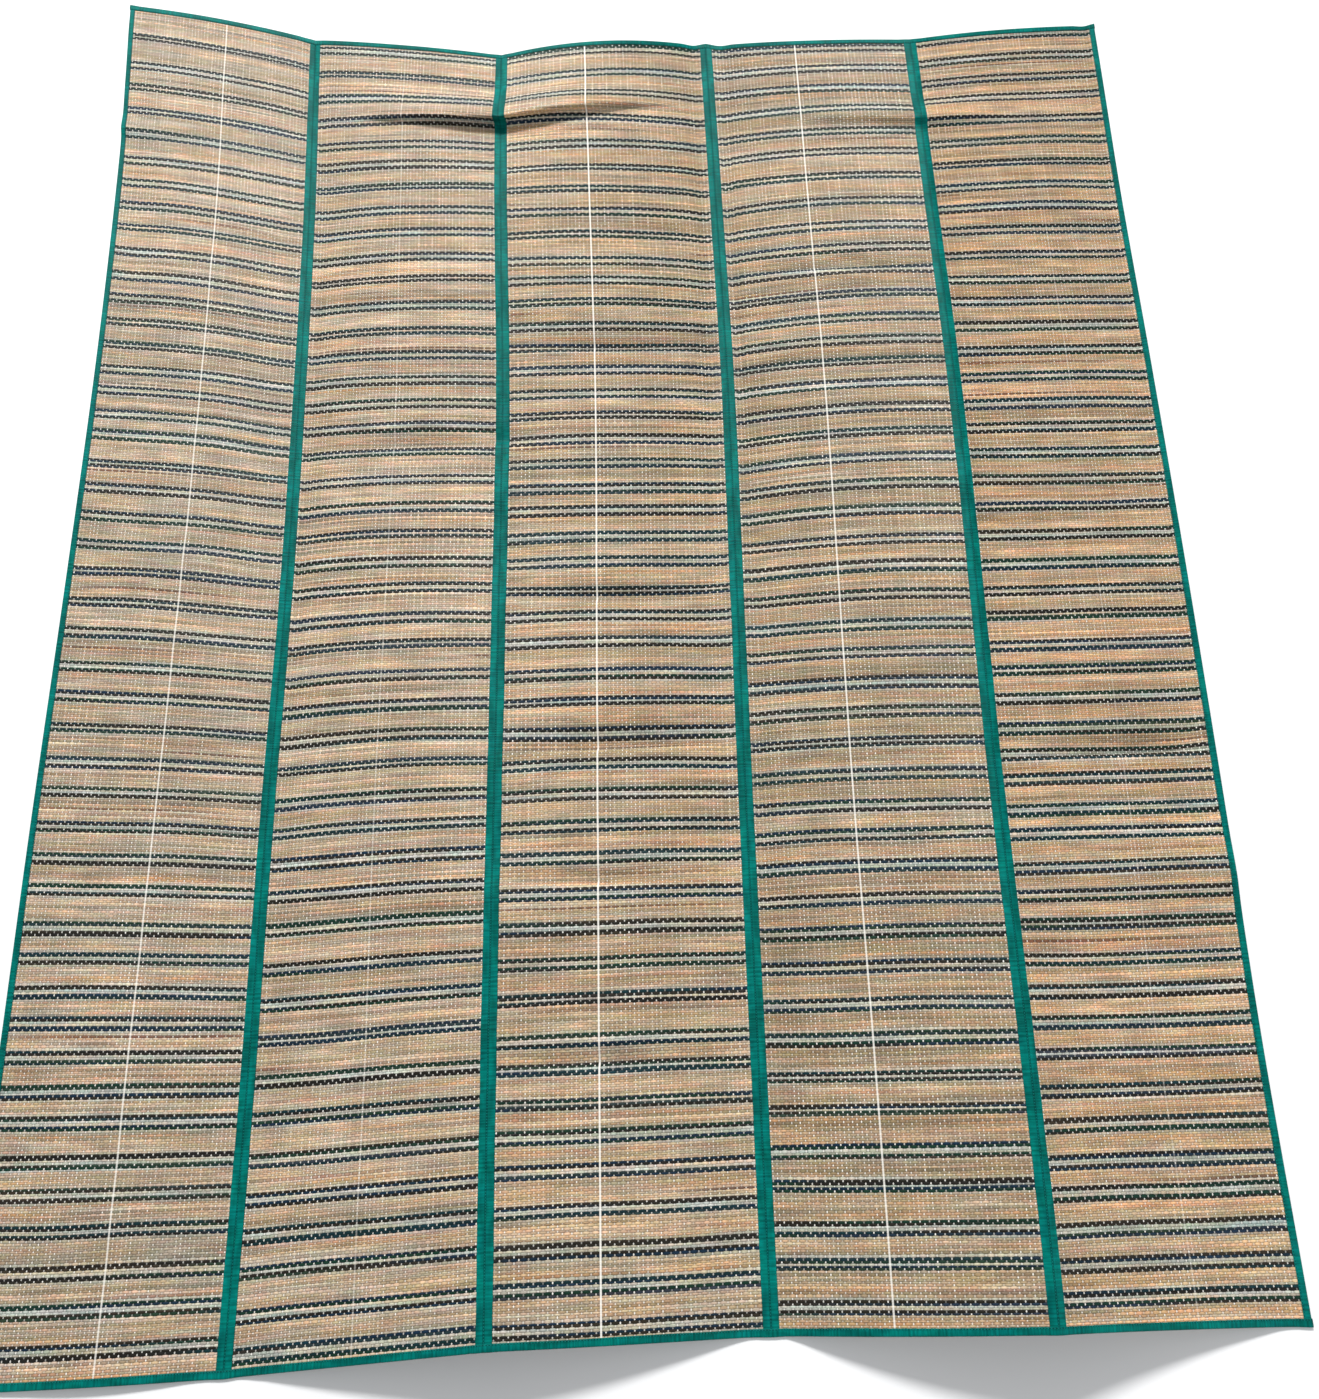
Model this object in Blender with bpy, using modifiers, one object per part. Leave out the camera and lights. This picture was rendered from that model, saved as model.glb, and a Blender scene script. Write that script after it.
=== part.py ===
"""Woven reed floor mat of five sewn panels, lying open on a floor.

Lengths are in metres unless a name ends in _mm, and +Z is up with the floor at z = 0. +Y runs along
the panels to the head end and +X across them. The mat has been kept folded in a zigzag, so the first
and third joints lie in valleys on the floor and the second and fourth stand as low ridges.
"""

import bmesh
import bpy
import numpy as np

COLLECTION_NAME = "woven_reed_mat"
MM = 0.001

# Driving sizes
PANEL_COUNT = 5
PANEL_PITCH = 0.305  # one seam to the next, twelve inches
MAT_LENGTH = 1.808
PANEL_THICK = 0.0016  # one layer of reeds with its warp threads
TAPE_THICK = 0.0004
TAPE_REACH = 0.008  # how far a tape covers the panel from the seam or the outer edge
GAP = 0.0003  # between pieces that touch

# Half thickness of what each layer reaches from the middle of the mat
PANEL_HALF = PANEL_THICK / 2
TAPE_INNER = PANEL_HALF + GAP
TAPE_OUTER = TAPE_INNER + TAPE_THICK
WEB_HALF = 0.0007  # half of the stitched web between two panels
FOLD_THICK = TAPE_THICK

# Heights of the middle layer above where it lies flat, at shares of the length from the foot end.
# A value under zero is pressed flat on the floor, and so is the cloth beside it.
SECTION_COLUMNS = (
    "share", "left_mm", "crown_1_mm", "joint_1_mm", "crown_2_mm", "joint_2_mm", "crown_3_mm",
    "joint_3_mm", "crown_4_mm", "joint_4_mm", "crown_5_mm", "right_mm",
)
SECTIONS = (
    (0.00, -4, 8, -6, 31, 60, 30, -7, 48, 84, 30, -5),
    (0.17, -4, 9, -6, 35, 67, 36, -7, 49, 90, 34, -5),
    (0.33, -4, 9, -6, 41, 66, 37, -7, 52, 86, 40, -5),
    (0.50, -4, 7, -6, 41, 62, 34, -7, 53, 86, 41, -5),
    (0.67, -4, 7, -6, 39, 64, 36, -7, 52, 87, 42, -5),
    (0.83, -4, 8, -6, 39, 67, 41, -7, 50, 83, 42, -5),
    (1.00, 14, 15, 3, 27, 40, 36, -7, 37, 68, 38, -5),
)
# How far each seam or edge ends past the plain rectangle, towards the head where positive
REACH_COLUMNS = ("line", "foot_mm", "head_mm")
REACHES = (
    ("left", -44, 116),
    ("joint_1", -31, 38),
    ("joint_2", 0, -45),
    ("joint_3", 5, 3),
    ("joint_4", 13, -73),
    ("right", 9, 11),
)
# How far the third panel's crown stands to the right of the middle, at the SECTIONS shares
DRIFTS_MM = (14, 10, 5, 2, -4, -14, -23)
# How far each seam or edge lies to the right of where even panels would put it, at the same shares
SHIFTS_MM = (
    ("left", 1, 1, 1, 2, 3, 2, 4),
    ("joint_1", 0, -1, -2, -1, -3, -4, -2),
    ("joint_2", -2, -3, -1, -2, -1, -2, -4),
    ("joint_3", 4, 4, 4, 2, 4, 6, 3),
    ("joint_4", 6, 7, 6, 6, 8, 10, 6),
    ("right", 3, 4, 5, 4, 5, 7, 3),
)

# Creases along the reeds. Places across count panels from the left edge, and places along are metres
# from the foot end, at the crease's left end and at its right end. The crest is at peak.
CREASE_COLUMNS = (
    "left", "peak", "right", "along_left", "along_right", "rise_mm", "foot_side_mm", "head_side_mm",
)
CREASES = (
    (1.10, 2.00, 3.00, 1.660, 1.702, 22, 14, 40),
    (3.05, 4.02, 4.60, 1.650, 1.640, 9, 18, 30),
    (3.00, 3.55, 4.10, 1.386, 1.371, -4, 16, 14),
    (1.00, 1.60, 2.45, 1.108, 1.122, -4, 16, 14),
    (1.95, 2.45, 3.05, 0.673, 0.683, -6, 16, 14),
    (4.00, 4.50, 5.00, 0.648, 0.658, -6, 16, 14),
)

# How the lattice is stepped: across each panel from its left seam, and along the mat
STEPS_ACROSS_MM = (0, 8, 60, 106, 152.5, 199, 245, 297, 305)
FINE_STEPS = 120  # steps across a panel at which its run over the floor is summed
ROW_STEP = 0.095
EVEN_ROW_CLEAR = 0.032  # an evenly stepped row nearer than this to a crease's row is left out
CREASE_ROWS = (-1.0, 0.0, 1.0)  # rows at a crease, in its side widths
NEAREST_ROWS = 0.008

# Faces that close the ends of a tape, as places in its section's ring of points
JOINT_CAP = (
    (0, 1, 12, 13), (1, 2, 3, 4), (1, 4, 12), (4, 5, 11, 12), (8, 11, 5), (5, 6, 7, 8), (8, 9, 10, 11),
)
FOLD_CAP = ((0, 1, 6, 7), (1, 2, 5, 6), (2, 3, 4, 5))

GREEN = (0.0, 0.242, 0.171)
REED = (0.55, 0.37, 0.20)
TAPE_ROUGHNESS = 0.55
REED_ROUGHNESS = 0.6


def column(table, columns, name):
    """The values of one named column of a table."""
    return [row[columns.index(name)] for row in table]


def smooth(stations, values, at):
    """A curve through the values whose slope at each station is that between its neighbours."""
    stations, values = np.asarray(stations, float), np.asarray(values, float)
    slopes = np.gradient(values, stations)
    i = int(np.clip(np.searchsorted(stations, at) - 1, 0, len(stations) - 2))
    step = stations[i + 1] - stations[i]
    q = (at - stations[i]) / step
    return (
        values[i] * (1 + 2 * q) * (1 - q) ** 2
        + values[i + 1] * (3 - 2 * q) * q**2
        + step * q * (1 - q) * (slopes[i] * (1 - q) - slopes[i + 1] * q)
    )


def crease_height(across, along):
    """What the creases add to the height, at places across in panels and one place along in metres."""
    total = np.zeros_like(across)
    for row in CREASES:
        crease = dict(zip(CREASE_COLUMNS, row))
        side = np.where(across < crease["peak"], crease["left"], crease["right"])
        away = np.clip((across - crease["peak"]) / (side - crease["peak"]), 0, 1)
        fade = 0.5 + 0.5 * np.cos(np.pi * away)
        crest = np.interp(
            across, (crease["left"], crease["right"]), (crease["along_left"], crease["along_right"])
        )
        width = np.where(along < crest, crease["foot_side_mm"], crease["head_side_mm"]) * MM
        total += crease["rise_mm"] * MM * fade * np.exp(-(((along - crest) / width) ** 2))
    return total


def cross_section(share):
    """The mat's middle layer at one share of its length: places across in panels, and their points."""
    shares = column(SECTIONS, SECTION_COLUMNS, "share")
    heights = [
        smooth(shares, column(SECTIONS, SECTION_COLUMNS, name), share) for name in SECTION_COLUMNS[1:]
    ]
    across = np.linspace(0, PANEL_COUNT, PANEL_COUNT * FINE_STEPS + 1)
    panel = np.minimum(across.astype(int), PANEL_COUNT - 1)
    q = across - panel
    left, crown, right = (np.array(heights)[2 * panel + k] for k in range(3))
    base = left * (1 - q) * (1 - 2 * q) + crown * 4 * q * (1 - q) + right * q * (2 * q - 1)
    lying = np.maximum(base * MM, 0)
    run = np.sqrt(np.diff(across * PANEL_PITCH) ** 2 - np.diff(lying) ** 2)
    x = np.concatenate(([0], np.cumsum(run)))
    z = np.maximum(base * MM + crease_height(across, share * MAT_LENGTH), 0)
    x += smooth(shares, DRIFTS_MM, share) * MM - np.interp(PANEL_COUNT / 2, across, x)
    lines = np.arange(len(REACHES))
    x += np.interp(across, lines, [smooth(shares, row[1:], share) for row in SHIFTS_MM]) * MM
    foot = np.interp(across, lines, column(REACHES, REACH_COLUMNS, "foot_mm")) * MM
    head = np.interp(across, lines, column(REACHES, REACH_COLUMNS, "head_mm")) * MM
    y = MAT_LENGTH * (share - 0.5) + foot * (1 - share) + head * share
    return across, np.stack([x, y, z], axis=1)


def row_places():
    """Places along the mat for the lattice's rows: the bindings' inner edges, even steps and creases."""
    edge = TAPE_REACH + GAP
    rows = [0.0, edge, MAT_LENGTH - edge, MAT_LENGTH]
    for row in CREASES:
        crease = dict(zip(CREASE_COLUMNS, row))
        middle = (crease["along_left"] + crease["along_right"]) / 2
        for k in CREASE_ROWS:
            width = crease["foot_side_mm"] if k < 0 else crease["head_side_mm"]
            rows.append(middle + k * width * MM)
    count = round(MAT_LENGTH / ROW_STEP)
    for even in np.linspace(0, MAT_LENGTH, count + 1)[1:-1]:
        if min(abs(even - other) for other in rows) > EVEN_ROW_CLEAR:
            rows.append(even)
    kept = []
    for place in sorted(rows):
        if not kept or place - kept[-1] >= NEAREST_ROWS:
            kept.append(place)
    return kept


def unit(vectors):
    return vectors / np.linalg.norm(vectors, axis=-1, keepdims=True)


def mean_tangents(points):
    """Unit directions from row to row of a lattice, the mean of the steps before and after each point."""
    steps = unit(np.diff(points, axis=1))
    before = np.concatenate([steps[:, :1], steps], axis=1)
    after = np.concatenate([steps, steps[:, -1:]], axis=1)
    return unit(before + after)


class Lattice:
    """Points of the middle layer and its upward normals, [panel, row, column], with the box centred."""

    def __init__(self):
        places = row_places()
        steps = np.array(STEPS_ACROSS_MM) / STEPS_ACROSS_MM[-1]
        points = np.empty((PANEL_COUNT, len(places), len(steps), 3))
        rightward = np.empty_like(points)
        for r, place in enumerate(places):
            across, section = cross_section(place / MAT_LENGTH)
            for panel in range(PANEL_COUNT):
                own = slice(panel * FINE_STEPS, (panel + 1) * FINE_STEPS + 1)
                slopes = np.gradient(section[own], axis=0)
                for axis in range(3):
                    points[panel, r, :, axis] = np.interp(panel + steps, across[own], section[own, axis])
                    rightward[panel, r, :, axis] = np.interp(panel + steps, across[own], slopes[:, axis])
        self.normals = unit(np.cross(rightward, mean_tangents(points)))
        middle = (points[..., :2].min((0, 1, 2)) + points[..., :2].max((0, 1, 2))) / 2
        points[..., :2] -= middle
        points[..., 2] += TAPE_OUTER
        self.points = points

    def near_side(self, panel, row, right_side, inward, out):
        """A point this far inward from a panel's seam line and this far out from the middle layer."""
        seam, tape_edge = (-1, -2) if right_side else (0, 1)
        q = inward / TAPE_REACH
        point = self.points[panel, row, seam] * (1 - q) + self.points[panel, row, tape_edge] * q
        normal = self.normals[panel, row, seam] * (1 - q) + self.normals[panel, row, tape_edge] * q
        return point + out * unit(normal)

    def near_end(self, panel, column, at_head, inward, out):
        """The same from the mat's foot or head line, with the seam's two panels evened at a joint."""
        line, tape_edge = (-1, -2) if at_head else (0, 1)
        q = inward / (TAPE_REACH + GAP)
        point = self.points[panel, line, column] * (1 - q) + self.points[panel, tape_edge, column] * q
        normal = self.normals[panel, line, column] * (1 - q) + self.normals[panel, tape_edge, column] * q
        if column == 0 and panel:
            other = self.normals[panel - 1]
            normal = unit(normal) + unit(other[line, -1] * (1 - q) + other[tape_edge, -1] * q)
        return point + out * unit(normal)


def material(name, colour, roughness):
    made = bpy.data.materials.new(name)
    made.use_nodes = True
    shader = made.node_tree.nodes["Principled BSDF"]
    shader.inputs["Base Color"].default_value = (*colour, 1)
    shader.inputs["Roughness"].default_value = roughness
    shader.inputs["Metallic"].default_value = 0
    return made


def piece(name, mesh, colour, roughness, collection):
    """An object of its own for one piece of the mat, with its own material."""
    data = bpy.data.meshes.new(name)
    mesh.to_mesh(data)
    mesh.free()
    data.materials.append(material(name, colour, roughness))
    data.shade_smooth()
    made = bpy.data.objects.new(name, data)
    collection.objects.link(made)
    return made


def split_quads(mesh):
    """Splits each four-sided face along its diagonal towards +X and +Y, so that parallel layers match."""
    for face in [face for face in mesh.faces if len(face.verts) == 4]:
        a, b, c, d = face.verts
        one, other = a.co - c.co, b.co - d.co
        ends = (a, c) if abs(one.x + one.y) > abs(other.x + other.y) else (b, d)
        bmesh.utils.face_split(face, *ends)


def loft(rings, cap):
    """A closed mesh whose neighbouring rings of points are joined and whose ends are capped."""
    mesh = bmesh.new()
    loops = [[mesh.verts.new(point) for point in ring] for ring in rings]
    for here, there in zip(loops, loops[1:]):
        for i, corner in enumerate(here):
            j = (i + 1) % len(here)
            mesh.faces.new((corner, here[j], there[j], there[i]))
    for places in cap:
        mesh.faces.new([loops[0][i] for i in reversed(places)])
        mesh.faces.new([loops[-1][i] for i in places])
    bmesh.ops.recalc_face_normals(mesh, faces=mesh.faces)
    split_quads(mesh)
    return mesh


def woven_panel(lattice, panel, collection):
    """A thin sheet through the lattice, its cut edges held a little inside the tapes."""
    points = lattice.points[panel].copy()
    rows, columns = points.shape[:2]
    left_edge = TAPE_THICK if panel == 0 else WEB_HALF
    right_edge = TAPE_THICK if panel == PANEL_COUNT - 1 else WEB_HALF
    for seam, beside, hidden in ((0, 1, left_edge), (-1, -2, right_edge)):
        q = (hidden + GAP) / TAPE_REACH
        points[:, seam] += (points[:, beside] - points[:, seam]) * q
    for line, beside in ((0, 1), (-1, -2)):
        q = (FOLD_THICK + GAP) / (TAPE_REACH + GAP)
        points[line] += (points[beside] - points[line]) * q
    mesh = bmesh.new()
    bmesh.ops.create_grid(mesh, x_segments=columns - 1, y_segments=rows - 1, size=1)
    mesh.verts.ensure_lookup_table()
    for vert, point in zip(mesh.verts, points.reshape(-1, 3)):
        vert.co = point
    split_quads(mesh)
    made = piece(f"panel_{panel + 1}", mesh, REED, REED_ROUGHNESS, collection)
    sheet = made.modifiers.new("thickness", "SOLIDIFY")
    sheet.thickness = PANEL_THICK
    sheet.offset = 0


def joint_tape(lattice, joint, collection):
    """A strip over and a strip under two panels' edges, with the stitched web between them."""
    left, right = joint - 1, joint
    rings = []
    for row in range(1, lattice.points.shape[1] - 1):
        def on_left(inward, out):
            return lattice.near_side(left, row, True, inward, out)

        def on_right(inward, out):
            return lattice.near_side(right, row, False, inward, out)

        def on_seam(out):
            line = lattice.points[right, row, 0]
            return line + out * unit(lattice.normals[left, row, -1] + lattice.normals[right, row, 0])

        rings.append([
            on_left(TAPE_REACH, TAPE_OUTER),
            on_seam(TAPE_OUTER),
            on_right(TAPE_REACH, TAPE_OUTER),
            on_right(TAPE_REACH, TAPE_INNER),
            on_right(WEB_HALF, TAPE_INNER),
            on_right(WEB_HALF, -TAPE_INNER),
            on_right(TAPE_REACH, -TAPE_INNER),
            on_right(TAPE_REACH, -TAPE_OUTER),
            on_seam(-TAPE_OUTER),
            on_left(TAPE_REACH, -TAPE_OUTER),
            on_left(TAPE_REACH, -TAPE_INNER),
            on_left(WEB_HALF, -TAPE_INNER),
            on_left(WEB_HALF, TAPE_INNER),
            on_left(TAPE_REACH, TAPE_INNER),
        ])
    piece(f"joint_tape_{joint}", loft(rings, JOINT_CAP), GREEN, TAPE_ROUGHNESS, collection)


def folded_ring(at):
    """The section of a tape folded over an edge, from a function of inward and outward distance."""
    return [
        at(TAPE_REACH, -TAPE_OUTER),
        at(0, -TAPE_OUTER),
        at(0, TAPE_OUTER),
        at(TAPE_REACH, TAPE_OUTER),
        at(TAPE_REACH, TAPE_INNER),
        at(FOLD_THICK, TAPE_INNER),
        at(FOLD_THICK, -TAPE_INNER),
        at(TAPE_REACH, -TAPE_INNER),
    ]


def side_binding(lattice, name, panel, right_side, collection):
    rings = [
        folded_ring(lambda inward, out, r=row: lattice.near_side(panel, r, right_side, inward, out))
        for row in range(1, lattice.points.shape[1] - 1)
    ]
    piece(name, loft(rings, FOLD_CAP), GREEN, TAPE_ROUGHNESS, collection)


def end_binding(lattice, name, at_head, collection):
    """The tape over the foot or head ends of all the panels, from one outer edge to the other."""
    columns = [(panel, c) for panel in range(PANEL_COUNT) for c in range(len(STEPS_ACROSS_MM) - 1)]
    columns.append((PANEL_COUNT - 1, len(STEPS_ACROSS_MM) - 1))
    rings = [
        folded_ring(lambda inward, out, p=panel, c=column: lattice.near_end(p, c, at_head, inward, out))
        for panel, column in columns
    ]
    piece(name, loft(rings, FOLD_CAP), GREEN, TAPE_ROUGHNESS, collection)


def main():
    for old in list(bpy.data.objects):
        bpy.data.objects.remove(old, do_unlink=True)
    collection = bpy.data.collections.new(COLLECTION_NAME)
    bpy.context.scene.collection.children.link(collection)
    lattice = Lattice()
    for panel in range(PANEL_COUNT):
        woven_panel(lattice, panel, collection)
    for joint in range(1, PANEL_COUNT):
        joint_tape(lattice, joint, collection)
    side_binding(lattice, "binding_left", 0, False, collection)
    side_binding(lattice, "binding_right", PANEL_COUNT - 1, True, collection)
    end_binding(lattice, "binding_foot", False, collection)
    end_binding(lattice, "binding_head", True, collection)


main()
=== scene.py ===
import math

import bpy
import numpy as np
from mathutils import Matrix, Vector


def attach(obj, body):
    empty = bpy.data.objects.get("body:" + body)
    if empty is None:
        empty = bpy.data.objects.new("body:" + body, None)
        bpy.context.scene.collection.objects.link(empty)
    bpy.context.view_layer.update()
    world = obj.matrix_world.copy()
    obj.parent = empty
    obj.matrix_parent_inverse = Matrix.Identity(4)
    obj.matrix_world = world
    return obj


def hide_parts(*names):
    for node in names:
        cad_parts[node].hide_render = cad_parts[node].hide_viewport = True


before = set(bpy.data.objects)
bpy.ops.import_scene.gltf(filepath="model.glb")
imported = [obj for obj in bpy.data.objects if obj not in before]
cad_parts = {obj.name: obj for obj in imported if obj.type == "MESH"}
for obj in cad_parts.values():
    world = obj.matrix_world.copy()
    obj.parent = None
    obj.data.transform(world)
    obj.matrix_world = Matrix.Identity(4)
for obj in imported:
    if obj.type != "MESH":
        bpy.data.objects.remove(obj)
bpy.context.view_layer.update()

MM = 0.001
PANELS = 5
PITCH = 0.305
LENGTH = 1.808
PLAN_MIDDLE = (-0.0145, 0.0360)  # the middle of the mat's plan box, which is the origin
HALF_PANEL = 0.8 * MM
REST_HEIGHT = 1.5 * MM  # of the middle layer where the mat lies flat

# Heights of the middle layer in mm at these shares of the length, from the foot to the head
SHARES = (0.0, 0.17, 0.33, 0.5, 0.67, 0.83, 1.0)
HEIGHTS_MM = (
    ("left", -4, -4, -4, -4, -4, -4, 14),
    ("crown_1", 8, 9, 9, 7, 7, 8, 15),
    ("joint_1", -6, -6, -6, -6, -6, -6, 3),
    ("crown_2", 31, 35, 41, 41, 39, 39, 27),
    ("joint_2", 60, 67, 66, 62, 64, 67, 40),
    ("crown_3", 30, 36, 37, 34, 36, 41, 36),
    ("joint_3", -7, -7, -7, -7, -7, -7, -7),
    ("crown_4", 48, 49, 52, 53, 52, 50, 37),
    ("joint_4", 84, 90, 86, 86, 87, 83, 68),
    ("crown_5", 30, 34, 40, 41, 42, 42, 38),
    ("right", -5, -5, -5, -5, -5, -5, -5),
)
FOOT_REACH_MM = (-44, -31, 0, 5, 13, 9)  # of each edge and seam past the plain rectangle
HEAD_REACH_MM = (116, 38, -45, 3, -73, 11)
DRIFTS_MM = (14, 10, 5, 2, -4, -14, -23)  # of the third crown to the right, at the SHARES
SHIFTS_MM = (  # of each edge and seam to the right of where even panels would put it, at the SHARES
    ("left", 1, 1, 1, 2, 3, 2, 4),
    ("joint_1", 0, -1, -2, -1, -3, -4, -2),
    ("joint_2", -2, -3, -1, -2, -1, -2, -4),
    ("joint_3", 4, 4, 4, 2, 4, 6, 3),
    ("joint_4", 6, 7, 6, 6, 8, 10, 6),
    ("right", 3, 4, 5, 4, 5, 7, 3),
)
FLOOR_BEND = 2.5 * MM  # the height over which the mat bends onto the floor

# Creases along the reeds: places across of the left end, the crest and the right end, places along of
# the two ends, the rise, the widths of the sides towards the foot and the head, and what share of the
# rise the crest leans over towards the foot
CREASE_COLUMNS = (
    "left", "peak", "right", "along_left", "along_right", "rise_mm", "foot_mm", "head_mm", "lean",
)
CREASES = (
    (1.10, 2.00, 3.00, 1.656, 1.694, 22, 8, 42, 0.75),
    (3.05, 4.02, 4.60, 1.650, 1.640, 9, 10, 30, 0.2),
    (3.00, 3.55, 4.10, 1.386, 1.371, -8, 5, 20, 0),
    (1.00, 1.60, 2.45, 1.108, 1.122, -7, 5, 18, 0),
    (1.95, 2.45, 3.15, 0.673, 0.683, -11, 4, 24, 0),
    (3.90, 4.70, 5.30, 0.648, 0.658, -12, 4, 26, 0),
    (1.95, 2.40, 3.05, 0.512, 0.503, -8, 5, 16, 0),
    (1.95, 2.40, 3.05, 0.297, 0.296, -8, 5, 16, 0),
    (1.95, 2.50, 3.05, 0.884, 0.879, -8, 5, 18, 0),
    (1.95, 2.50, 3.05, 1.261, 1.261, -6, 6, 15, 0),
    (-0.2, 0.00, 0.60, 1.592, 1.600, 4, 12, 20, 0),
    (4.35, 5.00, 5.60, 0.490, 0.490, 8, 55, 65, 0),
)
FOOT_ROUNDNESS = 1.35  # the lower this power, the crisper a crest is towards the foot; 2 is round
NARROWEST = 0.35  # of its width, what a crease's side towards the foot tapers to at its ends
CREASE_SHADE_LOSS = 0.62  # painted shade: of their brightness, what the reeds lose at the bottom of the deepest crease
CREASE_SHADE_REACH = 2.6 * MM
DEEPEST_MM = 12
BUCKLE_SPAN = (1.60, 1.78)  # the stretch along that shares out the first crease's extra cloth

# Soft waves that the mat kept from being rolled and folded: the seed, the height in mm, how many there
# are across a panel and the size of one along it
WAVES = ((11, 2.4, 1.3, 0.17), (12, 1.15, 2.0, 0.055))
CLEAR_HEIGHT = 6 * MM  # where the mat is this far off the floor the waves have their full height
FINE = 60  # steps across a panel
GRID_ROWS = 1809

# Reeds and warp threads
REED_WIDTH = 2.62 * MM
REED_SPREAD = 0.13
RIB = 0.25 * MM  # half of the height from groove to ridge
COLUMN_STEPS = (0.2, 1.5, 3, 4.5, 6, 8.5, 12, 17, 23, 30, 37, 43, 48, 51.5, 54, 55.5, 57, 58.5, 59.8)
WARPS = 60  # warp threads to a panel
REED_WOBBLE = 0.9 * MM
WOBBLE_LENGTH = 0.05
CALM_ENDS = 0.03  # the reeds lie straighter this near to the panel's ends
REED_INSET = 0.7 * MM  # from the panel's ends to its first and last reed
CROWDING = 0.08  # how far an upper reed spreads over its neighbours, in reeds
THREAD_REACH = 0.18  # half of a warp thread's width, in warps
THREAD_LENGTH = 0.54  # half of what shows of a thread, in reeds

# Dark stripe pairs: every fourth pair's place along in mm, panel by panel
PAIR_GROUP = 4
PAIRS_MM = (
    (36, 187, 329, 472, 629, 789, 953, 1106, 1241, 1390, 1546, 1706, 1894),
    (19, 176, 344, 511, 664, 821, 977, 1141, 1287, 1454, 1612, 1789, 1985),
    (17, 181, 326, 494, 657, 817, 970, 1116, 1259, 1405, 1566, 1747, 1919),
    (29, 191, 356, 516, 670, 830, 990, 1148, 1291, 1450, 1624, 1790, 1968),
    (35, 176, 326, 474, 619, 759, 911, 1070, 1231, 1394, 1553, 1716, 1876),
)
PAIR_JITTER_MM = 1.2
DARK_REEDS = 2  # to a dark line
PALE_REEDS = (2, 2, 2, 2, 1)  # between the two lines of a pair, one is drawn
DARK_REED_WIDTH = 1.02  # to a plain one

# Guide warps, thicker than the others: place across the panel and strength
GUIDES = ((0.533, 0.6), (0.50, 0.2), (0.40, 0.85), (0.45, 0.7), (0.57, 0.15))

# Linear colours
NATURAL = (
    (0.450, 0.330, 0.218), (0.406, 0.305, 0.202), (0.354, 0.272, 0.177), (0.467, 0.322, 0.209),
    (0.328, 0.256, 0.162),
)
STREAKS = (
    (0.430, 0.230, 0.150), (0.570, 0.470, 0.340), (0.250, 0.205, 0.105), (0.450, 0.240, 0.110),
    (0.190, 0.120, 0.070),
)
STREAK_SHARE = 0.36
BROWN = (0.12, 0.050, 0.030)
BROWN_SHARE = 0.02
DARKS = (
    (0.003, 0.021, 0.026), (0.004, 0.017, 0.034), (0.004, 0.025, 0.015), (0.010, 0.009, 0.007),
    (0.013, 0.011, 0.007),
)
PALES = ((0.385, 0.395, 0.340), (0.325, 0.365, 0.315), (0.445, 0.455, 0.400))
PALE_STRENGTH = 0.75
BESIDE_STRENGTH = 0.35
# Each panel's tint: partly its own tone and partly painted light and shade, which counters how its slope
# faces the lamps
PANEL_TONES_AND_SHADE = (
    (0.96, 0.99, 1.05), (1.03, 1.03, 1.07), (1.06, 1.03, 0.99), (0.88, 0.86, 0.82), (1.14, 1.03, 0.93),
)
CREAM = (0.90, 0.87, 0.80)
PINKISH = (1.07, 0.96, 0.96)
OLIVE = (0.94, 1.02, 0.95)
ORANGE = (1.07, 1.00, 0.88)
GREYISH = (0.93, 1.00, 1.12)
TEAL = (0.0, 0.138, 0.101)
BLUE_TEAL = (0.0, 0.114, 0.112)
STITCH = (0.01, 0.26, 0.24)

# Tapes, as places inward from the seam or edge and out from the middle layer, in mm
JOINT_HALF_MM = (
    (0.0, 1.18), (0.5, 1.28), (1.2, 1.58), (3.2, 1.54), (6.0, 1.58), (7.9, 1.66), (8.7, 1.48), (8.8, 1.10),
)
JOINT_UNDER_MM = ((8.8, -1.10), (8.8, -1.34), (8.0, -1.48), (0.0, -1.46))
WEB_MM = ((8.8, 1.08), (0.8, 1.08), (0.8, -1.08), (8.8, -1.08))
FOLD_MM = (
    (8.4, 1.10), (8.4, 1.44), (7.6, 1.66), (6.0, 1.60), (3.0, 1.55), (1.0, 1.48), (0.3, 1.25), (-0.1, 0.70),
    (-0.2, 0.0), (-0.1, -0.70), (0.3, -1.25), (1.0, -1.46), (7.8, -1.48), (8.4, -1.34), (8.4, -1.10),
    (0.6, -1.08), (0.6, 1.08),
)
FOLD_REACH_MM = 8  # how far a folded tape's map counts inward
TAPE_STEP = 3.4 * MM
BUCKLED_STEP = 1.2 * MM  # the same within the buckle's span
CRINKLE_MM = 0.22
EDGE_WOBBLE = 0.05  # share of the tape's width
UNDER_END = 4 * MM  # how far the lengthwise tapes stop from the end under the end tapes
OVERLAP_MM = 0.45  # what an end tape rises over the tapes that it crosses
OVERLAP_REACH = 0.032  # of a panel, each side of a seam
CLOSED_MM = (0.5, 0.9)  # an end tape's last full section and its closed tip, past the mat's side


def smooth(values, share):
    """A curve through values at the SHARES whose slope at each is that between its neighbours."""
    stations, values = np.array(SHARES), np.array(values, float)
    slopes = np.gradient(values, stations)
    i = np.clip(np.searchsorted(stations, share) - 1, 0, len(stations) - 2)
    step = stations[i + 1] - stations[i]
    q = (share - stations[i]) / step
    return (
        values[i] * (1 + 2 * q) * (1 - q) ** 2
        + values[i + 1] * (3 - 2 * q) * q**2
        + step * q * (1 - q) * (slopes[i] * (1 - q) - slopes[i + 1] * q)
    )


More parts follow.
